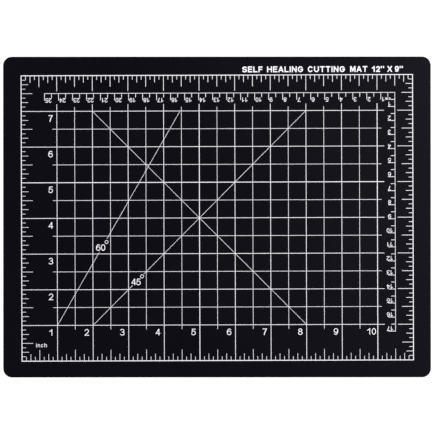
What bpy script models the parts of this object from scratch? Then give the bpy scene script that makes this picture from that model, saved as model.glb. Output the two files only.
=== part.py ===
"""Self healing cutting mat, 12 x 9 inch, with its printed inch and metric scales.

Frame: origin at the bottom centre, +X along the long side, +Y towards the top
edge as the inch numerals are read, +Z up through the printed face. Metres.
"""
import math

import bmesh
import bpy
from mathutils import Matrix, Vector

INCH = 0.0254
CENTIMETRE = 0.01
MILLIMETRE = 0.001

# The laminated sheet.
MAT_LENGTH = 12.0 * INCH
MAT_WIDTH = 9.0 * INCH
CORNER_RADIUS = 0.25 * INCH
CORNER_STEPS = 10
SOFT_PLY = 0.0009
CORE_PLY = 0.0010
PLY_GAP = 0.0001
EDGE_ROUND = 0.0002
EDGE_STEPS = 2

# The printed film of white ink.
INK_THICKNESS = 0.0001
INK_GAP = 0.00005
PRINT_TURN = 0.0029
PRINT_SHIFT_X = 0.0002
PRINT_SHIFT_Y = -0.0006

# The inch ruler: a frame with a tick at every eighth of an inch.
FRAME_LENGTH_INCHES = 11
FRAME_WIDTH_INCHES = 8
FRAME_LINE = 0.00054
NEAR_TICK_LINE = 0.00029
FAR_TICK_LINE = 0.00036
TICKS_PER_INCH = 8
EIGHTH_TICK = 3.0 * MILLIMETRE
QUARTER_TICK = 5.0 * MILLIMETRE
HALF_TICK = 8.0 * MILLIMETRE
INCH_TICK = 11.0 * MILLIMETRE
CORNER_TICK = 2.4 * MILLIMETRE

# The half inch grid, whose lines run on past its outer ones, and the angle guides.
INCH_LINE = 0.00036
FIFTH_INCH_LINE = 0.00048
HALF_LINE = 0.00028
ANGLE_LINE = 0.00025
GRID_GAP = 0.0003
INCH_LINE_RUN = 5.0 * MILLIMETRE
HALF_LINE_RUN = 3.0 * MILLIMETRE
GUIDE_BOTTOM = 1.0 * INCH
GUIDE_TOP = 7.0 * INCH
GUIDE_60_FOOT = 1.0 * INCH
GUIDE_45_FOOT = 2.0 * INCH
GUIDE_45_END = 8.0 * INCH
LABEL_60_GAP = (3.055 * INCH, 3.425 * INCH)
LABEL_45_GAP = (2.12 * INCH, 2.435 * INCH)

# The metric ruler: an L that counts away from its corner.
METRIC_LINE = 0.00032
METRIC_TICK_LINE = 0.00036
METRIC_CORNER_X = 10.5 * INCH
METRIC_CORNER_Y = 7.5 * INCH
METRIC_LENGTH_CM = 25
METRIC_WIDTH_CM = 17
TICKS_PER_CM = 2
HALF_CM_TICK = 3.0 * MILLIMETRE
CM_TICK = 5.0 * MILLIMETRE

# Cleaning where ink lines are joined.
JOIN_WELD = 0.00001
FLAT_ANGLE = math.radians(1.0)

PART_COLLECTION = "self_healing_mat"


def clear_scene():
    """Remove every object that the startup file holds."""
    for old in list(bpy.data.objects):
        bpy.data.objects.remove(old, do_unlink=True)


def new_material(name, colour, roughness):
    """A plain Principled material for one sub-part."""
    material = bpy.data.materials.new(name)
    material.use_nodes = True
    shader = material.node_tree.nodes["Principled BSDF"]
    shader.inputs["Base Color"].default_value = (colour[0], colour[1], colour[2], 1.0)
    shader.inputs["Roughness"].default_value = roughness
    shader.inputs["Metallic"].default_value = 0.0
    return material


def object_from_bmesh(bm, name, collection):
    """Store a bmesh as a named object."""
    bm.normal_update()
    mesh = bpy.data.meshes.new(name)
    bm.to_mesh(mesh)
    bm.free()
    obj = bpy.data.objects.new(name, mesh)
    collection.objects.link(obj)
    return obj


def is_upright(edge):
    """Whether an edge runs along Z."""
    along = edge.verts[1].co - edge.verts[0].co
    return abs(along.z) > abs(along.x) + abs(along.y)


def make_ply(name, thickness, bottom, rounded_side, material, collection):
    """One ply: a slab with rounded corners, its outer rim eased on rounded_side."""
    bm = bmesh.new()
    bmesh.ops.create_cube(bm, size=1.0)
    bmesh.ops.scale(bm, vec=(MAT_LENGTH, MAT_WIDTH, thickness), verts=bm.verts)
    corners = [edge for edge in bm.edges if is_upright(edge)]
    bmesh.ops.bevel(
        bm,
        geom=corners,
        offset=CORNER_RADIUS,
        offset_type="OFFSET",
        segments=CORNER_STEPS,
        profile=0.5,
        affect="EDGES",
        clamp_overlap=True,
        material=-1,
    )
    if rounded_side:
        level = rounded_side * thickness / 2.0
        rim = [
            edge
            for edge in bm.edges
            if all(abs(vert.co.z - level) < 1e-7 for vert in edge.verts)
        ]
        bmesh.ops.bevel(
            bm,
            geom=rim,
            offset=EDGE_ROUND,
            offset_type="OFFSET",
            segments=EDGE_STEPS,
            profile=0.5,
            affect="EDGES",
            clamp_overlap=True,
            material=-1,
        )
    ply = object_from_bmesh(bm, name, collection)
    ply.location = (0.0, 0.0, bottom + thickness / 2.0)
    ply.data.materials.append(material)
    return ply


def add_bar(bm, start, end, width):
    """Add a straight line of ink between two points of the print."""
    first = Vector((start[0], start[1], 0.0))
    last = Vector((end[0], end[1], 0.0))
    along = last - first
    place = Matrix.Translation((first + last) / 2.0)
    turn = Matrix.Rotation(math.atan2(along.y, along.x), 4, "Z")
    size = Matrix.Diagonal((along.length, width, INK_THICKNESS, 1.0))
    bmesh.ops.create_cube(bm, size=1.0, matrix=place @ turn @ size)


def bars_object(name, bars, collection):
    """One object holding bars that don't cross each other."""
    bm = bmesh.new()
    for start, end, width in bars:
        add_bar(bm, start, end, width)
    return object_from_bmesh(bm, name, collection)


def fuse(film, bars):
    """Unite a film with bars that cross it, clean the joins and drop the helpers."""
    for other in bars:
        union = film.modifiers.new("unite " + other.name, "BOOLEAN")
        union.operation = "UNION"
        union.solver = "EXACT"
        union.object = other
    evaluated = film.evaluated_get(bpy.context.evaluated_depsgraph_get())
    bm = bmesh.new()
    bm.from_mesh(evaluated.to_mesh())
    evaluated.to_mesh_clear()
    bmesh.ops.remove_doubles(bm, verts=bm.verts, dist=JOIN_WELD)
    bmesh.ops.dissolve_limit(
        bm,
        angle_limit=FLAT_ANGLE,
        verts=bm.verts,
        edges=bm.edges,
    )
    film.modifiers.clear()
    bm.to_mesh(film.data)
    bm.free()
    for other in bars:
        bpy.data.objects.remove(other, do_unlink=True)


def place_print(film, level):
    """Register a film on the mat, turned and shifted as the print run left it."""
    middle_x = FRAME_LENGTH_INCHES * INCH / 2.0
    middle_y = FRAME_WIDTH_INCHES * INCH / 2.0
    turn = Matrix.Rotation(PRINT_TURN, 4, "Z")
    shift = Matrix.Translation((PRINT_SHIFT_X, PRINT_SHIFT_Y, level + INK_THICKNESS / 2.0))
    film.matrix_world = shift @ turn @ Matrix.Translation((-middle_x, -middle_y, 0.0))


def tick_length(step, steps, inch_marks):
    """How long the tick at this eighth of an inch is, or None where none is printed."""
    if step in (1, steps - 1):
        return CORNER_TICK
    if step % 8 == 0:
        return INCH_TICK if inch_marks else None
    if step % 4 == 0:
        return HALF_TICK
    if step % 2 == 0:
        return QUARTER_TICK
    return EIGHTH_TICK


def inch_tick_bars(along_x):
    """Ticks on the two opposite sides of the frame, from the near and the far side."""
    inches = FRAME_LENGTH_INCHES if along_x else FRAME_WIDTH_INCHES
    far = (FRAME_WIDTH_INCHES if along_x else FRAME_LENGTH_INCHES) * INCH
    steps = inches * TICKS_PER_INCH
    bars = []
    for step in range(1, steps):
        place = step * INCH / TICKS_PER_INCH
        near_length = tick_length(step, steps, inch_marks=False)
        far_length = tick_length(step, steps, inch_marks=True)
        spans = [(far - far_length, far, FAR_TICK_LINE)]
        if near_length:
            spans.append((0.0, near_length, NEAR_TICK_LINE))
        for low, high, width in spans:
            if along_x:
                bars.append(((place, low), (place, high), width))
            else:
                bars.append(((low, place), (high, place), width))
    return bars


def make_frame(collection):
    """The frame line alone: a rectangle with its middle cut away."""
    length = FRAME_LENGTH_INCHES * INCH + FRAME_LINE
    width = FRAME_WIDTH_INCHES * INCH + FRAME_LINE
    bm = bmesh.new()
    bmesh.ops.create_grid(bm, x_segments=1, y_segments=1, size=0.5)
    bmesh.ops.scale(bm, vec=(length, width, 1.0), verts=bm.verts)
    middle = bm.faces[:]
    bmesh.ops.inset_individual(bm, faces=middle, thickness=FRAME_LINE, use_even_offset=True)
    bmesh.ops.delete(bm, geom=middle, context="FACES_ONLY")
    bmesh.ops.solidify(bm, geom=bm.faces[:], thickness=INK_THICKNESS)
    middle_x = FRAME_LENGTH_INCHES * INCH / 2.0
    middle_y = FRAME_WIDTH_INCHES * INCH / 2.0
    level = sum(vert.co.z for vert in bm.verts) / len(bm.verts)
    bmesh.ops.translate(bm, vec=(middle_x, middle_y, -level), verts=bm.verts)
    return object_from_bmesh(bm, "inch_ruler_print", collection)


def make_inch_ruler(collection):
    """The frame line and its ticks, as one film of ink."""
    ruler = make_frame(collection)
    ticks = [
        bars_object("upright_ticks", inch_tick_bars(along_x=True), collection),
        bars_object("level_ticks", inch_tick_bars(along_x=False), collection),
    ]
    fuse(ruler, ticks)
    return ruler


def grid_bars(upright):
    """Inch and half inch lines that run one way, heavier at every fifth inch."""
    inches = FRAME_LENGTH_INCHES if upright else FRAME_WIDTH_INCHES
    crossed_inches = FRAME_WIDTH_INCHES if upright else FRAME_LENGTH_INCHES
    first_line = INCH
    last_line = (crossed_inches - 1) * INCH
    inch_start = FRAME_LINE / 2.0 + GRID_GAP
    inch_end = last_line + INCH_LINE_RUN
    half_start = first_line - HALF_LINE_RUN
    half_end = last_line + HALF_LINE_RUN
    bars = []
    for half_inches in range(2, 2 * inches - 1):
        place = half_inches * INCH / 2.0
        if half_inches % 2:
            low, high, width = half_start, half_end, HALF_LINE
        elif half_inches % 10:
            low, high, width = inch_start, inch_end, INCH_LINE
        else:
            low, high, width = inch_start, inch_end, FIFTH_INCH_LINE
        if upright:
            bars.append(((place, low), (place, high), width))
        else:
            bars.append(((low, place), (high, place), width))
    return bars


def guide_bars(foot, degrees, gap):
    """A guide line that leans right from its foot, broken where its label sits."""
    lean = 1.0 / math.tan(math.radians(degrees))
    bars = []
    for low, high in ((GUIDE_BOTTOM, gap[0]), (gap[1], GUIDE_TOP)):
        start = (foot + (low - GUIDE_BOTTOM) * lean, low)
        end = (foot + (high - GUIDE_BOTTOM) * lean, high)
        bars.append((start, end, ANGLE_LINE))
    return bars


def make_grid(collection):
    """The half inch grid with the 45 and 60 degree guides that cross it."""
    falling = [((GUIDE_45_FOOT, GUIDE_TOP), (GUIDE_45_END, GUIDE_BOTTOM), ANGLE_LINE)]
    rising = guide_bars(GUIDE_45_FOOT, 45.0, LABEL_45_GAP)
    steep = guide_bars(GUIDE_60_FOOT, 60.0, LABEL_60_GAP)
    grid = bars_object("half_inch_grid_print", grid_bars(upright=True), collection)
    crossing = [
        bars_object("level_lines", grid_bars(upright=False), collection),
        bars_object("guide_60", steep, collection),
        bars_object("guide_45_rising", rising, collection),
        bars_object("guide_45_falling", falling, collection),
    ]
    fuse(grid, crossing)
    return grid


def metric_tick_bars(count_cm, along_x):
    """Ticks of one leg of the metric ruler, counted away from its corner."""
    bars = []
    for step in range(1, count_cm * TICKS_PER_CM + 1):
        reach = CM_TICK if step % TICKS_PER_CM == 0 else HALF_CM_TICK
        distance = step * CENTIMETRE / TICKS_PER_CM
        if along_x:
            place = METRIC_CORNER_X - distance
            start, end = (place, METRIC_CORNER_Y - reach), (place, METRIC_CORNER_Y)
        else:
            place = METRIC_CORNER_Y - distance
            start, end = (METRIC_CORNER_X - reach, place), (METRIC_CORNER_X, place)
        bars.append((start, end, METRIC_TICK_LINE))
    return bars


def make_metric_ruler(collection):
    """The metric L and its ticks, as one film of ink."""
    top = METRIC_CORNER_Y + METRIC_LINE / 2.0
    left = METRIC_CORNER_X - METRIC_LENGTH_CM * CENTIMETRE
    bottom = METRIC_CORNER_Y - METRIC_WIDTH_CM * CENTIMETRE
    level_leg = ((left, METRIC_CORNER_Y), (METRIC_CORNER_X, METRIC_CORNER_Y), METRIC_LINE)
    upright_leg = ((METRIC_CORNER_X, bottom), (METRIC_CORNER_X, top), METRIC_LINE)
    ruler = bars_object("metric_ruler_print", [level_leg], collection)
    crossing = [
        bars_object("upright_leg", [upright_leg], collection),
        bars_object("metric_upright_ticks", metric_tick_bars(METRIC_LENGTH_CM, True), collection),
        bars_object("metric_level_ticks", metric_tick_bars(METRIC_WIDTH_CM, False), collection),
    ]
    fuse(ruler, crossing)
    return ruler


def build():
    """Build every node of the mat."""
    clear_scene()
    parts = bpy.data.collections.new(PART_COLLECTION)
    bpy.context.scene.collection.children.link(parts)

    soft_black = new_material("soft_face_vinyl", (0.0040, 0.0037, 0.0058), 0.5)
    core_grey = new_material("rigid_core", (0.035, 0.035, 0.038), 0.5)
    back_black = new_material("soft_back_vinyl", (0.0060, 0.0058, 0.0080), 0.6)

    core_bottom = SOFT_PLY + PLY_GAP
    face_bottom = core_bottom + CORE_PLY + PLY_GAP
    face_top = face_bottom + SOFT_PLY
    make_ply("back_healing_ply", SOFT_PLY, 0.0, -1, back_black, parts)
    make_ply("rigid_core_ply", CORE_PLY, core_bottom, 0, core_grey, parts)
    make_ply("face_healing_ply", SOFT_PLY, face_bottom, 1, soft_black, parts)

    for make in (make_inch_ruler, make_grid, make_metric_ruler):
        film = make(parts)
        film.data.materials.append(new_material(film.name + "_ink", (0.80, 0.81, 0.83), 0.45))
        place_print(film, face_top + INK_GAP)
    bpy.context.view_layer.update()


build()
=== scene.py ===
# %% [markdown]
# # A self healing cutting mat
# A self healing mat is a thin sandwich of vinyl. Two soft plies close up again after
# a blade has passed, and a stiff ply between them stops the blade. The face carries
# one screen print of white ink: an inch ruler, a half inch grid, angle guides, a
# metric ruler, and the numerals that name them.
#
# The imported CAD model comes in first, as a fixed frame. Every size below is either
# read from that frame or is a size that the print shop would know, in inches or in
# millimetres, because a ruler is the one thing on this mat that has to be true.

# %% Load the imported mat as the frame
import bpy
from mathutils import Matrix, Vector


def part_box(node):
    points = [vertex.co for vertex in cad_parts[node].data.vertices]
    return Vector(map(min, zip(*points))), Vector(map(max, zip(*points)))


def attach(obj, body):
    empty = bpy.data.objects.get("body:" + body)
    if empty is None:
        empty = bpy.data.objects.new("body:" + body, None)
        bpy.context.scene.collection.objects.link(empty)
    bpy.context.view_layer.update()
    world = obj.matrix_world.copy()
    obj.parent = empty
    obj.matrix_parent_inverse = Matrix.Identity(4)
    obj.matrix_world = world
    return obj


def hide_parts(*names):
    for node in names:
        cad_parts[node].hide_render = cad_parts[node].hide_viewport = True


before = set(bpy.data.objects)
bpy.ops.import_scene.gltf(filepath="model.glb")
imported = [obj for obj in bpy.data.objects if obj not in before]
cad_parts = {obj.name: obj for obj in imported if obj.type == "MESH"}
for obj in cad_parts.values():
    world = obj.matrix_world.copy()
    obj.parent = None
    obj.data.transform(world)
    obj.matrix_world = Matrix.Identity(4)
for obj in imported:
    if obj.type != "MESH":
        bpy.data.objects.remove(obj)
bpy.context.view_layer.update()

import math

import bmesh
import bpy
from mathutils import Matrix, Vector

print("nodes:", sorted(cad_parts))

# %% [markdown]
# The plies are pressed together under heat, so on the real sheet there is no gap
# between them. CAD keeps a hair of space between its solids. The visible plies meet
# halfway across that space, so the edge reads as one sheet with two fine seams.

# %% Read the sheet's sizes
INCH = 0.0254
CENTIMETRE = 0.01
MILLIMETRE = 0.001

face_low, face_high = (Vector(corner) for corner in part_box("face_healing_ply"))
core_low, core_high = (Vector(corner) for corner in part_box("rigid_core_ply"))
back_low, back_high = (Vector(corner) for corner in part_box("back_healing_ply"))

mat_length = face_high.x - face_low.x
mat_width = face_high.y - face_low.y
mat_middle = (face_high + face_low) / 2.0
face_top = face_high.z
upper_seam = (core_high.z + face_low.z) / 2.0
lower_seam = (back_high.z + core_low.z) / 2.0
print(f"sheet {mat_length * 1000:.1f} x {mat_width * 1000:.1f} mm, face at {face_top * 1000:.2f} mm")

# %% [markdown]
# Every finish on the mat is matte plastic, and most of the differences between them
# are small: how deep the pebbling is, how even the colour is. A shader node group
# keeps the shared part in one place. This first helper adds a node and sets its
# properties, and the second one makes the empty group with named sockets. A Mix
# node has a set of sockets for each kind of data under the same names, so its colour
# sockets are reached by number.

# %% Helpers for node trees
MIX_COLOUR_A = 6
MIX_COLOUR_B = 7
MIX_COLOUR_OUT = 2
WHITE = (1.0, 1.0, 1.0)


def add_node(tree, kind, **settings):
    """Add a node and set its properties."""
    node = tree.nodes.new(kind)
    for name, value in settings.items():
        setattr(node, name, value)
    return node


def new_group(name, inputs, outputs):
    """An empty shader node group with float inputs (name, value) and outputs."""
    group = bpy.data.node_groups.new(name, "ShaderNodeTree")
    for socket_name, value in inputs:
        socket = group.interface.new_socket(
            name=socket_name, in_out="INPUT", socket_type="NodeSocketFloat"
        )
        socket.default_value = value
    for socket_name in outputs:
        group.interface.new_socket(
            name=socket_name, in_out="OUTPUT", socket_type="NodeSocketFloat"
        )
    return group


def new_material(name, roughness, specular, tint=WHITE):
    """A material with its Principled shader, and the few constants that it keeps."""
    material = bpy.data.materials.new(name)
    material.use_nodes = True
    shader = material.node_tree.nodes["Principled BSDF"]
    shader.inputs["Roughness"].default_value = roughness
    shader.inputs["Specular IOR Level"].default_value = specular
    shader.inputs["Specular Tint"].default_value = (*tint, 1.0)
    return material, shader


# %% [markdown]
# Calendered vinyl leaves the rollers with a fine pebbled skin, pebbles well under
# half a millimetre across, so that paper and leather lie still on it. Noise gives
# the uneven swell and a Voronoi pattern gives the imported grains. The walls of the
# sheet have no skin: the die leaves fine upright streaks there, which are the same
# kind of noise, drawn out along the height. The direction that a face looks in says
# which of the two it gets.

# %% Helpers for the skin: a noise, and a mask for the walls
WALL_STARTS = 0.3
WALL_ENDS = 0.8


def noise(tree, scale, detail, roughness=0.5):
    """A noise texture node."""
    texture = tree.nodes.new("ShaderNodeTexNoise")
    texture.inputs["Scale"].default_value = scale
    texture.inputs["Detail"].default_value = detail
    texture.inputs["Roughness"].default_value = roughness
    return texture


def wall_mask(tree):
    """A mask that is 1 on the upright walls and 0 on the level faces."""
    geometry = add_node(tree, "ShaderNodeNewGeometry")
    split = add_node(tree, "ShaderNodeSeparateXYZ")
    level = add_node(tree, "ShaderNodeMath", operation="ABSOLUTE")
    mask = add_node(tree, "ShaderNodeMapRange")
    mask.inputs["From Min"].default_value = WALL_STARTS
    mask.inputs["From Max"].default_value = WALL_ENDS
    mask.inputs["To Min"].default_value = 1.0
    mask.inputs["To Max"].default_value = 0.0
    tree.links.new(geometry.outputs["Normal"], split.inputs["Vector"])
    tree.links.new(split.outputs["Z"], level.inputs[0])
    tree.links.new(level.outputs["Value"], mask.inputs["Value"])
    return mask


# %% [markdown]
# The group takes two scales, for the grains and for the patches, and puts out a
# height and two masks. The height becomes relief. The masks are for the colour,
# broad patches and fine marks, because a large sheet is never one even shade. A
# Voronoi distance grows away from the middle of a grain, so it counts as a minus.

# %% The pebbled skin, shared by every vinyl and by the ink printed over it
GRAIN_SMOOTHNESS = 0.6
GRAIN_SHARE = -0.7
STREAKS_PER_METRE = 2600.0
STREAK_DRAW = 0.04
STREAK_DEPTH = 4.0
SPECKLES_PER_METRE = 900.0


def build_pebbled_skin():
    """Node group: grains and patches per metre in, relief and two colour masks out."""
    group = new_group(
        "pebbled_skin",
        [("Grain", 2600.0), ("Patches", 14.0)],
        ["Height", "Patches", "Marks"],
    )
    into = add_node(group, "NodeGroupInput")
    out = add_node(group, "NodeGroupOutput")
    place = add_node(group, "ShaderNodeTexCoord")

    grains = add_node(group, "ShaderNodeTexVoronoi", feature="SMOOTH_F1")
    grains.inputs["Smoothness"].default_value = GRAIN_SMOOTHNESS
    swell = noise(group, scale=1.0, detail=3.0, roughness=0.55)
    pebbles = add_node(group, "ShaderNodeMath", operation="MULTIPLY_ADD")
    pebbles.inputs[1].default_value = GRAIN_SHARE
    patches = noise(group, scale=1.0, detail=4.0)
    speckle = noise(group, SPECKLES_PER_METRE, detail=2.0)
    drawn = add_node(group, "ShaderNodeVectorMath", operation="MULTIPLY")
    drawn.inputs[1].default_value = (1.0, 1.0, STREAK_DRAW)
    streaks = noise(group, STREAKS_PER_METRE, detail=2.0)
    grooves = add_node(group, "ShaderNodeMath", operation="MULTIPLY")
    grooves.inputs[1].default_value = STREAK_DEPTH
    mask = wall_mask(group)
    height = add_node(group, "ShaderNodeMix", data_type="FLOAT")
    marks = add_node(group, "ShaderNodeMix", data_type="FLOAT")

    link = group.links.new
    for texture in (grains, swell, patches, speckle, drawn):
        link(place.outputs["Object"], texture.inputs[0])
    link(drawn.outputs["Vector"], streaks.inputs["Vector"])
    link(into.outputs["Grain"], grains.inputs["Scale"])
    link(into.outputs["Grain"], swell.inputs["Scale"])
    link(into.outputs["Patches"], patches.inputs["Scale"])
    link(grains.outputs["Distance"], pebbles.inputs[0])
    link(swell.outputs["Fac"], pebbles.inputs[2])
    link(streaks.outputs["Fac"], grooves.inputs[0])
    link(mask.outputs["Result"], height.inputs["Factor"])
    link(pebbles.outputs["Value"], height.inputs["A"])
    link(grooves.outputs["Value"], height.inputs["B"])
    link(mask.outputs["Result"], marks.inputs["Factor"])
    link(speckle.outputs["Fac"], marks.inputs["A"])
    link(streaks.outputs["Fac"], marks.inputs["B"])
    link(height.outputs["Result"], out.inputs["Height"])
    link(patches.outputs["Fac"], out.inputs["Patches"])
    link(marks.outputs["Result"], out.inputs["Marks"])
    return group


pebbled_skin = build_pebbled_skin()
print("group:", pebbled_skin.name, [item.name for item in pebbled_skin.interface.items_tree])

# %% [markdown]
# The vinyl itself is very dark, a black with a trace of violet. Most of what the eye
# sees of it is the soft sheen of the skin and not the colour, so the shader keeps a
# low specular level and a broad roughness, and the masks vary the colour and the
# roughness a little. Noise seldom leaves the middle of its range, so a Map Range node
# spreads that middle. The core is greyer, with a coarser grain, and shows only at the
# edge. The ink is an off white that takes on the pebbles under it. Four materials
# could be wired up one by one, but one recipe keeps them alike where they should be.

# %% A recipe for vinyl and for ink
NOISE_LOW = 0.3
NOISE_HIGH = 0.7
RELIEF = 0.35


def skin_finish(name, dark, light, roughness, specular, grain, depth, tint=WHITE):
    """A pebbled plastic whose colour drifts between two shades over the sheet."""
    material, shader = new_material(name, roughness[0], specular, tint)
    tree = material.node_tree
    skin = add_node(tree, "ShaderNodeGroup", node_tree=pebbled_skin)
    skin.inputs["Grain"].default_value = grain

    shade = add_node(tree, "ShaderNodeMix", data_type="RGBA")
    shade.inputs[MIX_COLOUR_A].default_value = (*dark, 1.0)
    shade.inputs[MIX_COLOUR_B].default_value = (*light, 1.0)
    both = add_node(tree, "ShaderNodeMath", operation="ADD")
    spread = add_node(tree, "ShaderNodeMapRange")
    spread.inputs["From Min"].default_value = 2.0 * NOISE_LOW
    spread.inputs["From Max"].default_value = 2.0 * NOISE_HIGH
    drift = add_node(tree, "ShaderNodeMapRange")
    drift.inputs["From Min"].default_value = NOISE_LOW
    drift.inputs["From Max"].default_value = NOISE_HIGH
    drift.inputs["To Min"].default_value = roughness[0]
    drift.inputs["To Max"].default_value = roughness[1]
    bump = add_node(tree, "ShaderNodeBump")
    bump.inputs["Strength"].default_value = RELIEF
    bump.inputs["Distance"].default_value = depth

    link = tree.links.new
    link(skin.outputs["Patches"], both.inputs[0])
    link(skin.outputs["Marks"], both.inputs[1])
    link(both.outputs["Value"], spread.inputs["Value"])
    link(spread.outputs["Result"], shade.inputs["Factor"])
    link(shade.outputs[MIX_COLOUR_OUT], shader.inputs["Base Color"])
    link(skin.outputs["Patches"], drift.inputs["Value"])
    link(drift.outputs["Result"], shader.inputs["Roughness"])
    link(skin.outputs["Height"], bump.inputs["Height"])
    link(bump.outputs["Normal"], shader.inputs["Normal"])
    return material


face_vinyl = skin_finish(
    "soft_black_vinyl_face",
    dark=(0.0015, 0.0012, 0.0028),
    light=(0.0021, 0.0018, 0.0038),
    roughness=(0.41, 0.46),
    specular=0.088,
    grain=2600.0,
    depth=0.00003,
    tint=(0.90, 0.87, 1.0),
)
back_vinyl = skin_finish(
    "soft_black_vinyl_back",
    dark=(0.0038, 0.0036, 0.0050),
    light=(0.0052, 0.0049, 0.0066),
    roughness=(0.52, 0.62),
    specular=0.14,
    grain=2200.0,
    depth=0.00004,
)
core_vinyl = skin_finish(
    "rigid_core_vinyl",
    dark=(0.020, 0.020, 0.022),
    light=(0.030, 0.030, 0.032),
    roughness=(0.44, 0.56),
    specular=0.3,
    grain=1500.0,
    depth=0.00002,
)
white_ink = skin_finish(
    "white_screen_ink",
    dark=(0.775, 0.75, 0.82),
    light=(0.835, 0.81, 0.87),
    roughness=(0.42, 0.52),
    specular=0.3,
    grain=2600.0,
    depth=0.00002,
)
print("finishes:", face_vinyl.name, back_vinyl.name, core_vinyl.name, white_ink.name)

# %% [markdown]
# Each finished bmesh becomes a piece in the same way: its normals are turned out, it
# gets its finish, and it rides on the mat's one body. One helper does that, so that
# no piece is left without a finish or a body.

# %% Finish a piece
def finish_piece(bm, name, material, replaced=()):
    """Store the bmesh as a named piece that rides on the mat."""
    bmesh.ops.recalc_face_normals(bm, faces=bm.faces)
    mesh = bpy.data.meshes.new(name)
    bm.to_mesh(mesh)
    bm.free()
    mesh.materials.append(material)
    piece = bpy.data.objects.new(name, mesh)
    bpy.context.scene.collection.objects.link(piece)
    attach(piece, "root")
    if replaced:
        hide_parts(*replaced)
    triangles = sum(len(face.vertices) - 2 for face in mesh.polygons)
    print(f"{name}: {triangles} triangles")
    return piece


# %% [markdown]
# The sheet is die cut after pressing, which gives it square walls and corners of a
# quarter inch radius. A rounded outline could be drawn and extruded, but a bevel
# makes the same corner from one number: a cube, stretched to the sheet's size, has
# its four upright edges bevelled. A second, tiny bevel eases the rims: the outer ones
# are a little soft where the die pushed them in, and the two seams are fine grooves
# where the plies meet.

# %% Cut the three plies
CORNER_RADIUS = 0.25 * INCH
CORNER_STEPS = 24
SEAM_EASE = 0.04 * MILLIMETRE
OUTER_EASE = 0.25 * MILLIMETRE
RIM_STEPS = 3
RIM_TOLERANCE = 1e-7
LEVEL_NORMAL = 0.999


def bevel(bm, edges, offset, segments):
    """Round edges the way the editor's bevel does."""
    bmesh.ops.bevel(
        bm,
        geom=edges,
        offset=offset,
        offset_type="OFFSET",
        segments=segments,
        profile=0.5,
        affect="EDGES",
        clamp_overlap=True,
        material=-1,
    )


def upright(edge):
    """Whether an edge stands on end."""
    along = edge.verts[1].co - edge.verts[0].co
    return abs(along.z) > abs(along.x) + abs(along.y)


def rim_at(bm, level):
    """The edges that lie in one level plane."""
    return [
        edge
        for edge in bm.edges
        if all(abs(vert.co.z - level) < RIM_TOLERANCE for vert in edge.verts)
    ]


def cut_ply(name, bottom, top, eases, material, node):
    """Cut one ply, with a bevel of its own on its lower and its upper rim."""
    bm = bmesh.new()
    place = Matrix.Translation((mat_middle.x, mat_middle.y, (bottom + top) / 2.0))
    size = Matrix.Diagonal((mat_length, mat_width, top - bottom, 1.0))
    bmesh.ops.create_cube(bm, size=1.0, matrix=place @ size)
    bevel(bm, [edge for edge in bm.edges if upright(edge)], CORNER_RADIUS, CORNER_STEPS)
    for level, ease in zip((bottom, top), eases):
        bevel(bm, rim_at(bm, level), ease, RIM_STEPS)
    for face in bm.faces:
        face.smooth = abs(face.normal.z) < LEVEL_NORMAL
    finish_piece(bm, name, material, [node])


cut_ply(
    "back_ply", back_low.z, lower_seam, (OUTER_EASE, SEAM_EASE),
    back_vinyl, "back_healing_ply",
)
cut_ply(
    "core_ply", lower_seam, upper_seam, (SEAM_EASE, SEAM_EASE),
    core_vinyl, "rigid_core_ply",
)
cut_ply(
    "face_ply", upper_seam, face_top, (SEAM_EASE, OUTER_EASE),
    face_vinyl, "face_healing_ply",
)

# %% [markdown]
# The print has a frame of its own: x and y in metres from the lower left corner of
# the printed frame, z from the vinyl's face. The screen never lands quite square on
# a sheet, so the whole print is turned and shifted by a hair, and the squeegee's pull
# leaves it a hair shorter and wider. One matrix holds all of that, and every bmesh
# of ink is moved by it once, as its last step.

# %% Where the print lies on the mat
PRINT_TURN = 0.0029
PRINT_SHIFT = Vector((0.2, -0.6, 0.0)) * MILLIMETRE
PRINT_STRETCH = (0.99835, 1.0007)
FRAME_INCHES = (11, 8)

frame_length = FRAME_INCHES[0] * INCH
frame_width = FRAME_INCHES[1] * INCH
print_place = (
    Matrix.Translation(Vector((mat_middle.x, mat_middle.y, face_top)) + PRINT_SHIFT)
    @ Matrix.Rotation(PRINT_TURN, 4, "Z")
    @ Matrix.Diagonal((*PRINT_STRETCH, 1.0, 1.0))
    @ Matrix.Translation((-frame_length / 2.0, -frame_width / 2.0, 0.0))
)


def finish_ink(bm, name, replaced=()):
    """Move a bmesh of ink from the print's frame to the mat and finish it."""
    bmesh.ops.transform(bm, matrix=print_place, verts=bm.verts)
    return finish_piece(bm, name, white_ink, replaced)


print(f"print turned by {math.degrees(PRINT_TURN):.2f} degrees")

# %% [markdown]
# A line of screen ink is a low bar with soft ends. It could be painted by the
# material, but real ink stands proud of the sheet, and a bar stays crisp however
# close the eye comes. Each bar starts as a cube whose matrix gives it its length,
# width and place, and one bevel over all the upright edges rounds the ends. The bars
# sink a little into the vinyl, as ink keys into the skin. Lines that cross get films
# that differ by a few microns, so that no two of their faces lie in one plane.

# %% Lay lines of ink
INK_SINK = 0.01 * MILLIMETRE
INK_FILM = 0.03 * MILLIMETRE
FILM_STEP = 0.003 * MILLIMETRE
TICK_LAYER = 0
LINE_LAYER = 2
GUIDE_LAYER = 4
LINE_CORNER = 0.08 * MILLIMETRE
LINE_CORNER_STEPS = 2


def ink_bar(bm, start, end, width, layer):
    """Lay one straight line from start to end, each (x, y) in the print's frame."""
    first = Vector((start[0], start[1], 0.0))
    last = Vector((end[0], end[1], 0.0))
    along = last - first
    top = INK_FILM + layer * FILM_STEP
    lift = Matrix.Translation((0.0, 0.0, (top - INK_SINK) / 2.0))
    place = Matrix.Translation((first + last) / 2.0)
    turn = Matrix.Rotation(math.atan2(along.y, along.x), 4, "Z")
    size = Matrix.Diagonal((along.length, width, top + INK_SINK, 1.0))
    bmesh.ops.create_cube(bm, size=1.0, matrix=lift @ place @ turn @ size)


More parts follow.
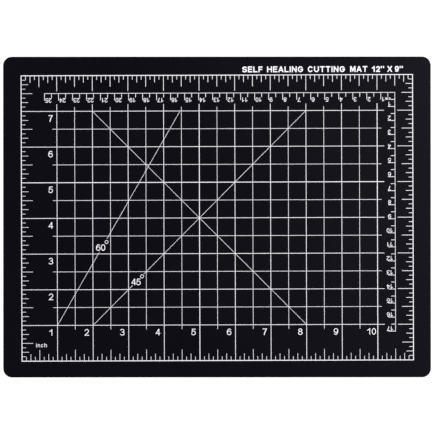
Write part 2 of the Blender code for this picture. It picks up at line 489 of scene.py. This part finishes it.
def soften_ends(bm):
    """Round the upright edges of every bar."""
    bevel(bm, [edge for edge in bm.edges if upright(edge)], LINE_CORNER, LINE_CORNER_STEPS)


# %% [markdown]
# The printed frame is one closed line. A flat grid face is stretched to its outside
# and inset by the line's width, the middle is dropped, and what is left is
# thickened. The ticks then stand on its inner edge: every eighth of an inch, longer
# at the quarter, the half and the inch, as on any rule. Their lengths are whole
# millimetres, though the ruler counts inches.

# %% The inch ruler
FRAME_LINE = 0.54 * MILLIMETRE
NEAR_TICK_LINE = 0.29 * MILLIMETRE
FAR_TICK_LINE = 0.36 * MILLIMETRE
EIGHTHS = 8
TICK_LENGTHS = {8: 11.0, 4: 8.0, 2: 5.0, 1: 3.0}


def tick_reach(eighth):
    """The length of the tick at this eighth of an inch."""
    for step, length in TICK_LENGTHS.items():
        if eighth % step == 0:
            return length * MILLIMETRE


def frame_line(bm):
    """The closed line round the print."""
    length = frame_length + FRAME_LINE
    width = frame_width + FRAME_LINE
    made = bmesh.ops.create_grid(
        bm,
        x_segments=1,
        y_segments=1,
        size=0.5,
        matrix=Matrix.Translation((frame_length / 2.0, frame_width / 2.0, INK_FILM))
        @ Matrix.Diagonal((length, width, 1.0, 1.0)),
    )
    middle = list({face for vert in made["verts"] for face in vert.link_faces})
    ring = bmesh.ops.inset_individual(
        bm, faces=middle, thickness=FRAME_LINE, use_even_offset=True
    )["faces"]
    bmesh.ops.delete(bm, geom=middle, context="FACES_ONLY")
    bmesh.ops.solidify(bm, geom=ring, thickness=INK_FILM + INK_SINK)


def inch_ticks(bm):
    """Ticks on all four sides. The grid's own lines stand for two sides' inch ticks."""
    inner = FRAME_LINE / 2.0
    for side_inches, far, across in (
        (FRAME_INCHES[0], frame_width, False),
        (FRAME_INCHES[1], frame_length, True),
    ):
        for eighth in range(1, side_inches * EIGHTHS):
            place = eighth * INCH / EIGHTHS
            reach = tick_reach(eighth)
            spans = [(far - reach, far - inner, FAR_TICK_LINE)]
            if eighth % EIGHTHS:
                spans.append((inner, reach, NEAR_TICK_LINE))
            for low, high, width in spans:
                start, end = (place, low), (place, high)
                if across:
                    start, end = (low, place), (high, place)
                ink_bar(bm, start, end, width, TICK_LAYER + int(across))


ruler = bmesh.new()
inch_ticks(ruler)
soften_ends(ruler)
frame_line(ruler)
finish_ink(ruler, "inch_ruler", ["inch_ruler_print"])

# %% [markdown]
# Inside the ruler lies the half inch grid. Inch lines are printed heavier than half
# inch lines, and every fifth one is heavier again, so that the eye can count. The
# inch lines run out to the ruler on the left and at the bottom, where the numerals
# are. The other ends, and both ends of a half inch line, run a few millimetres past
# the grid's outer lines.

# %% The half inch grid
INCH_LINE = 0.36 * MILLIMETRE
FIFTH_LINE = 0.48 * MILLIMETRE
HALF_LINE = 0.28 * MILLIMETRE
HEAVY_INCHES = 5
INCH_LINE_RUN = 5.0 * MILLIMETRE
HALF_LINE_RUN = 3.0 * MILLIMETRE


def grid_lines(bm, across):
    """All the lines that run one way: up the mat, or across it."""
    counted, crossed = reversed(FRAME_INCHES) if across else FRAME_INCHES
    last_line = (crossed - 1) * INCH
    for half_inches in range(2, 2 * counted - 1):
        place = half_inches * INCH / 2.0
        if half_inches % 2:
            low, high = INCH - HALF_LINE_RUN, last_line + HALF_LINE_RUN
            width = HALF_LINE
        else:
            low, high = FRAME_LINE / 2.0, last_line + INCH_LINE_RUN
            width = INCH_LINE if half_inches % (2 * HEAVY_INCHES) else FIFTH_LINE
        start, end = (place, low), (place, high)
        if across:
            start, end = (low, place), (high, place)
        ink_bar(bm, start, end, width, LINE_LAYER + int(across))


grid = bmesh.new()
grid_lines(grid, across=False)
grid_lines(grid, across=True)
soften_ends(grid)
finish_ink(grid, "half_inch_grid", ["half_inch_grid_print"])

# %% [markdown]
# Three thin guides cross the grid for cutting at an angle: one at 60 degrees and one
# at 45 that rise to the right, and one at 45 that falls. The two that carry a label
# are broken where it sits. A guide could be drawn level and turned, but working out
# both its ends from the angle puts them exactly on the grid's outer lines. Each is a
# piece of its own, named for its angle. Places here are in inches.

# %% The angle guides
ANGLE_LINE = 0.25 * MILLIMETRE
GUIDE_FOOT_Y = 1.0
GUIDE_HEAD_Y = 7.0


def guide(bm, foot_inches, degrees, gap, layer):
    """A guide that rises from the bottom grid line, broken between two heights."""
    lean = 1.0 / math.tan(math.radians(degrees))
    breaks = [GUIDE_FOOT_Y, *gap, GUIDE_HEAD_Y]
    for low, high in zip(breaks[0::2], breaks[1::2]):
        start = (foot_inches + (low - GUIDE_FOOT_Y) * lean, low)
        end = (foot_inches + (high - GUIDE_FOOT_Y) * lean, high)
        ink_bar(
            bm,
            [value * INCH for value in start],
            [value * INCH for value in end],
            ANGLE_LINE,
            layer,
        )


for name, foot, degrees, gap, layer in (
    ("guide_60_degrees", 1.0, 60.0, (3.055, 3.425), GUIDE_LAYER),
    ("guide_45_degrees_rising", 2.0, 45.0, (2.12, 2.435), GUIDE_LAYER + 1),
    ("guide_45_degrees_falling", 8.0, 135.0, (), GUIDE_LAYER + 2),
):
    lines = bmesh.new()
    guide(lines, foot, degrees, gap, layer)
    soften_ends(lines)
    finish_ink(lines, name)

# %% [markdown]
# The metric ruler is an L that counts away from its corner at the upper right, so it
# is read with the mat turned round. Each leg is one bar, with a short tick at every
# half centimetre and a longer one at every centimetre. One function lays either leg,
# because only the direction and the count differ.

# %% The metric ruler
METRIC_LINE = 0.32 * MILLIMETRE
METRIC_TICK = 0.36 * MILLIMETRE
METRIC_CORNER_INCHES = (10.5, 7.5)
METRIC_LEGS_CM = (25, 17)
CM_REACH = 5.0 * MILLIMETRE
HALF_CM_REACH = 3.0 * MILLIMETRE


def metric_leg(bm, count_cm, down):
    """One leg of the L with its ticks, running left, or down, from the corner."""
    corner_x, corner_y = (inches * INCH for inches in METRIC_CORNER_INCHES)
    for half_cm in range(1, 2 * count_cm + 1):
        away = half_cm * CENTIMETRE / 2.0
        reach = CM_REACH if half_cm % 2 == 0 else HALF_CM_REACH
        inner = METRIC_LINE / 2.0
        if down:
            start = (corner_x - reach, corner_y - away)
            end = (corner_x - inner, corner_y - away)
        else:
            start = (corner_x - away, corner_y - reach)
            end = (corner_x - away, corner_y - inner)
        ink_bar(bm, start, end, METRIC_TICK, TICK_LAYER + int(down))
    run = count_cm * CENTIMETRE + METRIC_TICK / 2.0
    overlap = METRIC_LINE / 2.0
    if down:
        start, end = (corner_x, corner_y - run), (corner_x, corner_y + overlap)
    else:
        start, end = (corner_x - run, corner_y), (corner_x + overlap, corner_y)
    ink_bar(bm, start, end, METRIC_LINE, LINE_LAYER + int(down))


metric = bmesh.new()
for count_cm, down in zip(METRIC_LEGS_CM, (False, True)):
    metric_leg(metric, count_cm, down)
soften_ends(metric)
finish_ink(metric, "metric_ruler", ["metric_ruler_print"])

# %% [markdown]
# The figures and letters are plain bold grotesques, the kind that rulers are marked
# with. Blender's own font has another character, so each glyph is drawn the way a
# sign writer would draw it: as the path of a pen, in a box one unit wide and one
# unit high. An arc helper gives the round parts. The first number of each entry is
# the glyph's width as a share of its height. Seven's leg is drawn twice, a little
# apart, because in a bold face that leg is heavier than the bar.

# %% Draw the figures as pen paths
ARC_STEP = 18.0
FEWEST_STEPS = 4


def arc(x, y, radius_x, radius_y, begin, end):
    """Points along part of an ellipse, from one angle to the other, in degrees."""
    steps = max(FEWEST_STEPS, round(abs(end - begin) / ARC_STEP))
    angles = [math.radians(begin + (end - begin) * step / steps) for step in range(steps + 1)]
    return [(x + radius_x * math.cos(a), y + radius_y * math.sin(a)) for a in angles]


def flipped(strokes):
    """The same strokes turned half round, as a nine is to a six."""
    return [[(1.0 - x, 1.0 - y) for x, y in stroke] for stroke in strokes]


SIX = [
    arc(0.5, 0.32, 0.5, 0.32, 0, 360),
    arc(0.55, 0.5, 0.55, 0.5, 50, 180) + [(0.0, 0.32)],
]
GLYPHS = {
    "0": (0.66, [arc(0.5, 0.5, 0.5, 0.5, 0, 360)]),
    "1": (0.66, [[(0.69, 0.0), (0.69, 1.0)], [(0.6, 0.9), (0.08, 0.68)]]),
    "2": (0.68, [arc(0.5, 0.71, 0.48, 0.29, 165, -40) + [(0.0, 0.0)], [(0.0, 0.0), (1.0, 0.0)]]),
    "3": (0.68, [arc(0.47, 0.76, 0.46, 0.24, 155, -90), arc(0.47, 0.26, 0.53, 0.26, 90, -155)]),
    "4": (0.70, [[(0.7, 1.0), (0.0, 0.28), (1.0, 0.28)], [(0.75, 0.0), (0.75, 1.0)]]),
    "5": (
        0.68,
        [[(0.95, 1.0), (0.2, 1.0), (0.1, 0.52)] + arc(0.47, 0.33, 0.53, 0.33, 120, -155)],
    ),
    "6": (0.68, SIX),
    "7": (
        0.66,
        [
            [(0.0, 1.0), (1.0, 1.0), (0.6, 0.5), (0.38, 0.0)],
            [(0.94, 0.97), (0.55, 0.5), (0.33, 0.0)],
        ],
    ),
    "8": (0.68, [arc(0.5, 0.77, 0.42, 0.23, 0, 360), arc(0.5, 0.27, 0.5, 0.27, 0, 360)]),
    "9": (0.68, flipped(SIX)),
}
print(len(GLYPHS), "figures drawn")

# %% [markdown]
# The same pen draws the letters: the capitals of the header line, the inch mark that
# stands with them, and the few small letters of the unit words. A small letter's body
# is about seven tenths of a unit high, and h and n share one arch.

# %% Draw the letters as pen paths
ARCH = arc(0.5, 0.42, 0.5, 0.3, 180, 0) + [(1.0, 0.0)]
LETTERS = {
    "A": (0.86, [[(0.0, 0.0), (0.45, 1.0), (0.55, 1.0), (1.0, 0.0)], [(0.2, 0.28), (0.8, 0.28)]]),
    "C": (0.88, [arc(0.5, 0.5, 0.5, 0.5, 45, 315)]),
    "E": (0.74, [[(1.0, 1.0), (0.0, 1.0), (0.0, 0.0), (1.0, 0.0)], [(0.0, 0.52), (0.9, 0.52)]]),
    "F": (0.70, [[(1.0, 1.0), (0.0, 1.0), (0.0, 0.0)], [(0.0, 0.5), (0.88, 0.5)]]),
    "G": (0.92, [arc(0.5, 0.5, 0.5, 0.5, 45, 340) + [(1.0, 0.48), (0.6, 0.48)]]),
    "H": (0.84, [[(0.0, 0.0), (0.0, 1.0)], [(1.0, 0.0), (1.0, 1.0)], [(0.0, 0.52), (1.0, 0.52)]]),
    "I": (0.0, [[(0.0, 0.0), (0.0, 1.0)]]),
    "L": (0.70, [[(0.0, 1.0), (0.0, 0.0), (1.0, 0.0)]]),
    "M": (
        0.91,
        [
            [(0.0, 0.0), (0.0, 1.0)],
            [(0.1, 1.0), (0.5, 0.15), (0.9, 1.0)],
            [(1.0, 1.0), (1.0, 0.0)],
        ],
    ),
    "N": (0.84, [[(0.0, 0.0), (0.0, 1.0)], [(0.05, 1.0), (0.95, 0.0)], [(1.0, 0.0), (1.0, 1.0)]]),
    "S": (0.80, [arc(0.5, 0.76, 0.47, 0.24, 25, 270), arc(0.5, 0.26, 0.5, 0.26, 90, -155)]),
    "T": (0.80, [[(0.0, 1.0), (1.0, 1.0)], [(0.5, 1.0), (0.5, 0.0)]]),
    "U": (0.84, [[(0.0, 1.0)] + arc(0.5, 0.4, 0.5, 0.4, 180, 360) + [(1.0, 1.0)]]),
    "X": (0.78, [[(0.0, 0.0), (1.0, 1.0)], [(0.0, 1.0), (1.0, 0.0)]]),
    '"': (0.56, [[(0.0, 1.0), (0.0, 0.8)], [(1.0, 1.0), (1.0, 0.8)]]),
    "c": (0.62, [arc(0.5, 0.36, 0.5, 0.36, 45, 315)]),
    "h": (0.60, [[(0.0, 0.0), (0.0, 1.0)], ARCH]),
    "i": (0.0, [[(0.0, 0.0), (0.0, 0.7)], [(0.0, 1.0), (0.0, 0.98)]]),
    "m": (
        0.98,
        [
            [(0.0, 0.0), (0.0, 0.72)],
            arc(0.25, 0.5, 0.25, 0.22, 180, 0) + [(0.5, 0.0)],
            arc(0.75, 0.5, 0.25, 0.22, 180, 0) + [(1.0, 0.0)],
        ],
    ),
    "n": (0.60, [[(0.0, 0.0), (0.0, 0.72)], ARCH]),
}
GLYPHS.update(LETTERS)
print(len(LETTERS), "letters and marks drawn")

# %% [markdown]
# A pen path becomes ink in two moves. Its edges are extruded straight up into a thin
# wall as high as the film, and a Solidify modifier, centred on the wall, then gives
# it the pen's width with true corners. The open ends are run on by half a pen, so
# that a stem ends exactly on the line of the letters. Each stroke of a glyph has
# its own film height, as the crossing lines of the grid do.

# %% Write with the pen
FIGURE_CELL = 0.75
LOOP_TOLERANCE = 1e-9


def run_on(points, length):
    """The path with both ends run on by a length, unless it is a closed loop."""
    first, second = Vector(points[0]), Vector(points[1])
    last, before = Vector(points[-1]), Vector(points[-2])
    if (first - last).length < LOOP_TOLERANCE:
        return [Vector(point) for point in points[:-1]], True
    start = first + (first - second).normalized() * length
    end = last + (last - before).normalized() * length
    return [start] + [Vector(point) for point in points[1:-1]] + [end], False


def pen_wall(bm, points, closed, place, top):
    """Raise one path into a wall of ink."""
    foot = [bm.verts.new(place @ Vector((point.x, point.y, -INK_SINK))) for point in points]
    pairs = list(zip(foot, foot[1:]))
    if closed:
        pairs.append((foot[-1], foot[0]))
    edges = [bm.edges.new(pair) for pair in pairs]
    grown = bmesh.ops.extrude_edge_only(bm, edges=edges)["geom"]
    tops = [item for item in grown if isinstance(item, bmesh.types.BMVert)]
    bmesh.ops.translate(bm, vec=(0.0, 0.0, top + INK_SINK), verts=tops)


def cells(words, height, pen, gap=0.0):
    """The room that each letter takes along the line; every figure takes the same."""
    room = []
    for letter in words:
        if letter.isdigit():
            room.append(FIGURE_CELL * height)
        else:
            room.append(max(GLYPHS[letter][0] * height, pen) + gap * height)
    return room


def write(bm, words, middle, height, pen, gap=0.0, turned=False):
    """Write words with their middle at (x, y); every size is in inches."""
    rise = height - pen
    place = (
        Matrix.Translation((middle[0] * INCH, middle[1] * INCH, 0.0))
        @ Matrix.Rotation(math.pi if turned else 0.0, 4, "Z")
    )
    room = cells(words, height, pen, gap)
    centre = -sum(room) / 2.0
    for letter, cell in zip(words, room):
        width, strokes = GLYPHS[letter]
        run = max(width * height - pen, 0.0)
        left = centre + (cell - run) / 2.0
        for layer, stroke in enumerate(strokes):
            path = [((left + x * run) * INCH, (y - 0.5) * rise * INCH) for x, y in stroke]
            points, closed = run_on(path, pen * INCH / 2.0)
            pen_wall(bm, points, closed, place, INK_FILM + layer * FILM_STEP)
        centre += cell


def finish_writing(bm, name, pen):
    """Finish pen walls as a piece of ink, a pen's width thick."""
    piece = finish_ink(bm, name)
    nib = piece.modifiers.new("pen width", "SOLIDIFY")
    nib.thickness = pen * INCH
    nib.offset = 0.0
    nib.use_even_offset = True


# %% [markdown]
# The inch numerals along the bottom stand just left of the line that each one counts,
# and those up the left side stand just under it. The row and the column share the
# figure one. Each could be placed by eye, but a loop over the inches sets every figure
# from its own line, so none can drift from what it counts. All of them are one piece,
# as they are one pull of the squeegee. Places and sizes of the writing are in inches.

# %% Inch numerals
INCH_FIGURE = 0.180
INCH_PEN = 0.0195
INCH_FIGURE_BELOW = 0.1975
INCH_FIGURE_LEFT = 0.178

figures = bmesh.new()
for inch in range(1, FRAME_INCHES[0]):
    middle = (inch - INCH_FIGURE_LEFT, 1.0 - INCH_FIGURE_BELOW)
    write(figures, str(inch), middle, INCH_FIGURE, INCH_PEN)
for inch in range(2, FRAME_INCHES[1]):
    middle = (1.0 - INCH_FIGURE_LEFT, inch - INCH_FIGURE_BELOW)
    write(figures, str(inch), middle, INCH_FIGURE, INCH_PEN)
finish_writing(figures, "inch_numerals", INCH_PEN)

# %% [markdown]
# Metric numerals are smaller and turned half round, to be read from the far side.
# They could be drawn upside down, but the same helper writes them, with a finer pen
# and a half turn in its matrix. Those on the top leg stand beside their tick, and
# those on the side leg sit on it.

# %% Metric numerals
CM_FIGURE = 0.121
CM_PEN = 0.0150
TOP_FIGURE_LEVEL = 7.308
TOP_FIGURE_START = 0.020
SIDE_FIGURE_MIDDLE = 10.344
SIDE_FIGURE_LIFT = 0.070

figures = bmesh.new()
for cm in range(1, METRIC_LEGS_CM[0] + 1):
    tick = METRIC_CORNER_INCHES[0] - cm * CENTIMETRE / INCH
    length = sum(cells(str(cm), CM_FIGURE, CM_PEN))
    middle = (tick + TOP_FIGURE_START + length / 2.0, TOP_FIGURE_LEVEL)
    write(figures, str(cm), middle, CM_FIGURE, CM_PEN, turned=True)
for cm in range(1, METRIC_LEGS_CM[1] + 1):
    tick = METRIC_CORNER_INCHES[1] - cm * CENTIMETRE / INCH
    middle = (SIDE_FIGURE_MIDDLE, tick + SIDE_FIGURE_LIFT)
    write(figures, str(cm), middle, CM_FIGURE, CM_PEN, turned=True)
finish_writing(figures, "metric_numerals", CM_PEN)

# %% [markdown]
# Each angle label sits in the break of its guide, and a unit word names what each
# ruler counts. A degree sign could be a small nought, but it is rounder and thinner
# than one, so it is a loop of a finer pen. The signs are a piece of their own, because
# a Solidify modifier gives the whole of a piece one width.

# %% Unit words and angle labels
ANGLE_LABELS = {"60": (2.222, 3.178), "45": (3.214, 2.212)}
LABEL_FIGURE = 0.181
LABEL_PEN = 0.0195
RING_OFFSET = (0.165, 0.156)
RING_RADIUS = 0.045
UNIT_PEN = 0.0140
INCH_WORD_MIDDLE = (0.549, 0.445)
INCH_WORD_HEIGHT = 0.112
INCH_WORD_GAP = 0.24
CM_WORD_MIDDLE = (10.305, 7.320)
CM_WORD_HEIGHT = 0.084
CM_WORD_GAP = 0.18


def degree_ring(bm, middle):
    """A small loop of ink."""
    points = [
        Vector((x * INCH, y * INCH))
        for x, y in arc(middle[0], middle[1], RING_RADIUS, RING_RADIUS, 0, 360)[:-1]
    ]
    pen_wall(bm, points, True, Matrix.Identity(4), INK_FILM)


figures = bmesh.new()
rings = bmesh.new()
for label, middle in ANGLE_LABELS.items():
    write(figures, label, middle, LABEL_FIGURE, LABEL_PEN)
    degree_ring(rings, (middle[0] + RING_OFFSET[0], middle[1] + RING_OFFSET[1]))
finish_writing(figures, "angle_labels", LABEL_PEN)
finish_writing(rings, "degree_signs", UNIT_PEN)

letters = bmesh.new()
write(letters, "inch", INCH_WORD_MIDDLE, INCH_WORD_HEIGHT, UNIT_PEN, INCH_WORD_GAP)
finish_writing(letters, "inch_word", UNIT_PEN)
letters = bmesh.new()
write(letters, "cm", CM_WORD_MIDDLE, CM_WORD_HEIGHT, UNIT_PEN, CM_WORD_GAP, turned=True)
finish_writing(letters, "cm_word", UNIT_PEN)

# %% [markdown]
# A plain line above the frame says what the mat is and how big it is, in wide bold
# capitals. A heavier pen writes them, with a small gap after each letter. One long
# string would space the words evenly, but printed ones seldom are, so each word is
# centred on a place of its own.

# %% The header line
HEADER_HEIGHT = 0.166
HEADER_PEN = 0.0325
HEADER_GAP = 0.17
HEADER_LEVEL = 8.158
HEADER_WORDS = {
    "SELF": 6.50,
    "HEALING": 7.42,
    "CUTTING": 8.58,
    "MAT": 9.49,
    '12"': 10.03,
    "X": 10.36,
    '9"': 10.62,
}

letters = bmesh.new()
for word, middle in HEADER_WORDS.items():
    write(letters, word, (middle, HEADER_LEVEL), HEADER_HEIGHT, HEADER_PEN, HEADER_GAP)
    print(word, f"{sum(cells(word, HEADER_HEIGHT, HEADER_PEN, HEADER_GAP)):.3f} inches")
finish_writing(letters, "header_line", HEADER_PEN)

# %% [markdown]
# The mat lies on a plain pale table. Most of its brightness is a glow of its own, as
# on a light table, so that it is one even shade out to the horizon and the thin
# sheet casts no dark line around itself.

# %% The table
TABLE_SIZE = 40.0
TABLE_GAP = 0.2 * MILLIMETRE
TABLE_SHADE = 0.30
TABLE_GLOW = 0.86

table = bmesh.new()
bmesh.ops.create_grid(
    table,
    x_segments=1,
    y_segments=1,
    size=TABLE_SIZE / 2.0,
    matrix=Matrix.Translation((0.0, 0.0, back_low.z - TABLE_GAP)),
)
table_mesh = bpy.data.meshes.new("table")
table.to_mesh(table_mesh)
table.free()
pale, pale_shader = new_material("pale_table", roughness=0.9, specular=0.0)
pale_shader.inputs["Base Color"].default_value = (TABLE_SHADE, TABLE_SHADE, TABLE_SHADE, 1.0)
pale_shader.inputs["Emission Color"].default_value = (*WHITE, 1.0)
pale_shader.inputs["Emission Strength"].default_value = TABLE_GLOW
table_mesh.materials.append(pale)
table_top = bpy.data.objects.new("table", table_mesh)
bpy.context.scene.collection.objects.link(table_top)
print(f"table {TABLE_GAP * 1000:.1f} mm under the mat")

# %% [markdown]
# Four soft boxes stand round the mat. Black vinyl mirrors whatever is straight above
# it, so nothing bright hangs there: the sheet stays dark, and the light that grazes
# it shows the pebbles. Three boxes are low. The one on the right is stronger and
# stands higher, so that its soft mirror image brightens that end of the sheet.

# %% Soft light
BOX_DISTANCE = 1.2
BOX_LENGTH = 0.9
BOX_HEIGHT = 0.5


def soft_box(name, azimuth, elevation, power):
    """An area light aimed at the middle of the mat."""
    light = bpy.data.lights.new(name, "AREA")
    light.shape = "RECTANGLE"
    light.size = BOX_LENGTH
    light.size_y = BOX_HEIGHT
    light.energy = power
    lamp = bpy.data.objects.new(name, light)
    bpy.context.scene.collection.objects.link(lamp)
    turn, lift = math.radians(azimuth), math.radians(elevation)
    direction = Vector(
        (math.cos(lift) * math.cos(turn), math.cos(lift) * math.sin(turn), math.sin(lift))
    )
    lamp.location = direction * BOX_DISTANCE
    lamp.rotation_euler = direction.to_track_quat("Z", "Y").to_euler()


for name, azimuth, elevation, power in (
    ("box_right", 14.0, 50.0, 12.5),
    ("box_back", 100.0, 26.0, 9.0),
    ("box_left", 190.0, 26.0, 8.0),
    ("box_front", 280.0, 26.0, 9.0),
):
    soft_box(name, azimuth, elevation, power)
    print(f"{name}: {power} watts from {azimuth:.0f} degrees, {elevation:.0f} degrees up")

# %% [markdown]
# The world behind everything gives next to no light. A Light Path node tells the
# camera's rays from all others, and only those see the world as pale as the table.

# %% The world
WORLD_LIGHT = 0.05
WORLD_SEEN = 0.88

world = bpy.data.worlds.new("studio")
world.use_nodes = True
backdrop = world.node_tree.nodes["Background"]
backdrop.inputs["Color"].default_value = (*WHITE, 1.0)
ray = add_node(world.node_tree, "ShaderNodeLightPath")
strength = add_node(world.node_tree, "ShaderNodeMapRange")
strength.inputs["To Min"].default_value = WORLD_LIGHT
strength.inputs["To Max"].default_value = WORLD_SEEN
world.node_tree.links.new(ray.outputs["Is Camera Ray"], strength.inputs["Value"])
world.node_tree.links.new(strength.outputs["Result"], backdrop.inputs["Strength"])
bpy.context.scene.world = world
bpy.context.scene.view_settings.view_transform = "Standard"
print("world:", world.name)

# %% [markdown]
# A long lens looks straight down from far above, which keeps the sheet's sides
# parallel. The distance follows from the lens: the view is a little wider than the
# twelve inches of the mat.

# %% The camera
VIEW_INCHES = 12.175
LENS = 120.0
SENSOR = 36.0
CAMERA_ROLL = -0.0006

camera_data = bpy.data.cameras.new("camera")
camera_data.lens = LENS
camera_data.sensor_width = SENSOR
camera = bpy.data.objects.new("camera", camera_data)
bpy.context.scene.collection.objects.link(camera)
reach = VIEW_INCHES * INCH * LENS / SENSOR
camera.location = (mat_middle.x, mat_middle.y, face_top + reach)
camera.rotation_euler = (0.0, 0.0, CAMERA_ROLL)
bpy.context.scene.camera = camera
print(f"camera {reach:.3f} m above the face")
